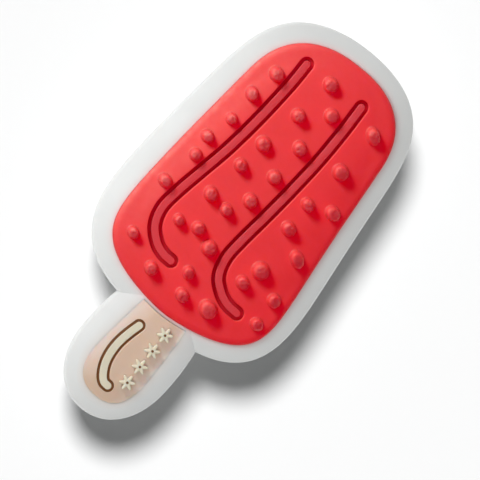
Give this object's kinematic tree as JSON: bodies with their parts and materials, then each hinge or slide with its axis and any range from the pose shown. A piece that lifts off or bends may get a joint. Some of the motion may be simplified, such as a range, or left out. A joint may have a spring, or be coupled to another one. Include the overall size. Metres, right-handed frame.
{
  "type": "ice pop shoe charm",
  "caption": "Puffy moulded plastic shoe charm in the shape of an ice pop on a stick, with a pegged red face, a white backing and a mushroom plug behind.",
  "frame": {"origin": "under the middle of the charm's outline, on the surface that the plug's flat head rests on", "axes": "+Y towards the top of the pop, away from its stick; +Z out of the face; +X to the right seen from above"},
  "size_m": [0.0238, 0.0458, 0.0113],
  "materials": {
    "white_pvc": "soft satin, slightly translucent",
    "red_pvc": "soft satin, slightly translucent",
    "dark_red_pvc": "soft satin, slightly translucent",
    "dusty_red_pvc": "soft satin, slightly translucent",
    "tan_pvc": "soft satin, slightly translucent",
    "brown_pvc": "soft satin, slightly translucent",
    "cream_pvc": "soft satin, slightly translucent"
  },
  "bodies": {
    "root": {"backing": "white_pvc", "rear_plug": "white_pvc", "pop_face": "red_pvc", "left_groove_lining": "dark_red_pvc", "right_groove_lining": "dark_red_pvc", "left_strip": "dusty_red_pvc", "right_strip": "dusty_red_pvc", "stick": "tan_pvc", "stick_groove_lining": "brown_pvc", "stick_strip": "cream_pvc", "snow_crystal_1": "cream_pvc", "snow_crystal_2": "cream_pvc", "snow_crystal_3": "cream_pvc", "snow_crystal_4": "cream_pvc"}
  },
  "joints": []
}
